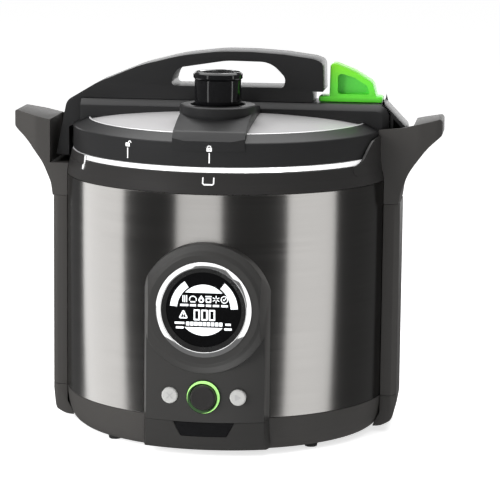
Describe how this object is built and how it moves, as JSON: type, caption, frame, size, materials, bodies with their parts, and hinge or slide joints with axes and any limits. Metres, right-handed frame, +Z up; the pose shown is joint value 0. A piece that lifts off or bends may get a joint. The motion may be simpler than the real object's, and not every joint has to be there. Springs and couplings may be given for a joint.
{
  "type": "electric pressure canner",
  "caption": "Round electric pressure canner: steel drum, bayonet lid with arched carrying handle, weighted regulator and sliding green lock, side handles, round display and knob.",
  "frame": {"origin": "on the floor plane under the middle of the drum: the centre of the footprint of the overall box", "axes": "+Z up, +X to the right when facing the control panel, +Y to the back (the panel, knob and buttons face -Y)"},
  "size_m": [0.4382, 0.3682, 0.3843],
  "materials": {
    "dark_brushed_steel": "brushed",
    "charcoal_plastic": "matte",
    "bright_steel": "satin",
    "black_rubber": "matte",
    "black_plastic": "satin",
    "gloss_black": "gloss",
    "chrome": "polished",
    "circuit_board": "satin",
    "green_light": "translucent",
    "button_grey": "satin",
    "cast_aluminium": "matte",
    "spring_steel": "satin",
    "satin_aluminium": "satin",
    "green_plastic": "satin",
    "grey_silicone": "matte"
  },
  "bodies": {
    "base": {"outer_shell": "dark_brushed_steel", "base_ring": "charcoal_plastic", "base_plate": "bright_steel", "foot_1": "black_rubber", "base_screw_1": "bright_steel", "foot_2": "black_rubber", "base_screw_2": "bright_steel", "foot_3": "black_rubber", "base_screw_3": "bright_steel", "foot_4": "black_rubber", "base_screw_4": "bright_steel", "top_band": "black_plastic", "lock_ring": "bright_steel", "side_handle_right": "charcoal_plastic", "column_cover_right": "charcoal_plastic", "foot_cap_right": "charcoal_plastic", "side_handle_left": "charcoal_plastic", "column_cover_left": "charcoal_plastic", "foot_cap_left": "charcoal_plastic", "front_panel": "charcoal_plastic", "base_front": "charcoal_plastic", "badge_plate": "gloss_black", "display_bezel": "chrome", "display_lens": "gloss_black", "display_module": "gloss_black", "control_board": "circuit_board", "knob_light_ring": "green_light", "rotary_encoder": "bright_steel", "rear_housing": "charcoal_plastic", "power_inlet": "black_plastic", "liner": "bright_steel", "heater_plate": "cast_aluminium", "heating_element": "spring_steel", "sensor_seat": "black_plastic", "sensor_spring": "spring_steel", "canning_pot": "cast_aluminium", "canning_rack": "bright_steel", "power_board": "circuit_board"},
    "sealing_ring": {"sealing_ring": "grey_silicone"},
    "lid": {"lid_disc": "satin_aluminium", "lid_ring": "black_plastic", "lid_bridge": "black_plastic", "lid_handle": "black_plastic", "latch_leg": "black_plastic", "regulator_housing": "black_plastic", "vent_pipe": "bright_steel", "vent_nut": "bright_steel", "gasket_holder": "bright_steel", "overpressure_plug": "black_rubber", "air_vent_gasket": "black_rubber", "lever_spring": "spring_steel"},
    "regulator": {"regulator_body": "gloss_black", "regulator_weight": "gloss_black"},
    "lock_lever": {"lock_lever": "green_plastic", "lock_bolt": "bright_steel"},
    "air_vent_pin": {"air_vent_pin": "bright_steel"},
    "control_knob": {"control_knob": "black_plastic"},
    "cancel_button": {"cancel_button": "button_grey"},
    "start_button": {"start_button": "button_grey"},
    "temperature_sensor": {"temperature_sensor": "bright_steel"}
  },
  "joints": [
    {"name": "lid_lift", "type": "slide", "parent": "base", "child": "sealing_ring", "axis": [0, 0, 1], "range_m": [0, 0.3]},
    {"name": "lid_turn", "type": "hinge", "parent": "sealing_ring", "child": "lid", "pos_m": [0, 0, 0.3], "axis": [0, 0, 1], "range_deg": [0, 30]},
    {"name": "regulator_lift", "type": "slide", "parent": "lid", "child": "regulator", "axis": [0, 0, 1], "range_m": [0, 0.08]},
    {"name": "lock_slide", "type": "slide", "parent": "lid", "child": "lock_lever", "axis": [-1, 0, 0], "range_m": [0, 0.005], "stiffness_N_per_m": 400, "springref_m": -0.003, "deforming": ["lever_spring"]},
    {"name": "air_vent_rise", "type": "slide", "parent": "lid", "child": "air_vent_pin", "axis": [0, 0, 1], "range_m": [0, 0.004]},
    {"name": "knob_turn", "type": "hinge", "parent": "base", "child": "control_knob", "pos_m": [0, -0.18, 0.0616], "axis": [0, -1, 0], "continuous": true},
    {"name": "cancel_press", "type": "slide", "parent": "base", "child": "cancel_button", "axis": [0, 1, 0], "range_m": [0, 0.0015], "stiffness_N_per_m": 600, "springref_m": -0.0015},
    {"name": "start_press", "type": "slide", "parent": "base", "child": "start_button", "axis": [0, 1, 0], "range_m": [0, 0.0015], "stiffness_N_per_m": 600, "springref_m": -0.0015},
    {"name": "sensor_press", "type": "slide", "parent": "base", "child": "temperature_sensor", "axis": [0, 0, -1], "range_m": [0, 0.002], "stiffness_N_per_m": 400, "springref_m": -0.002, "deforming": ["sensor_spring"]}
  ]
}
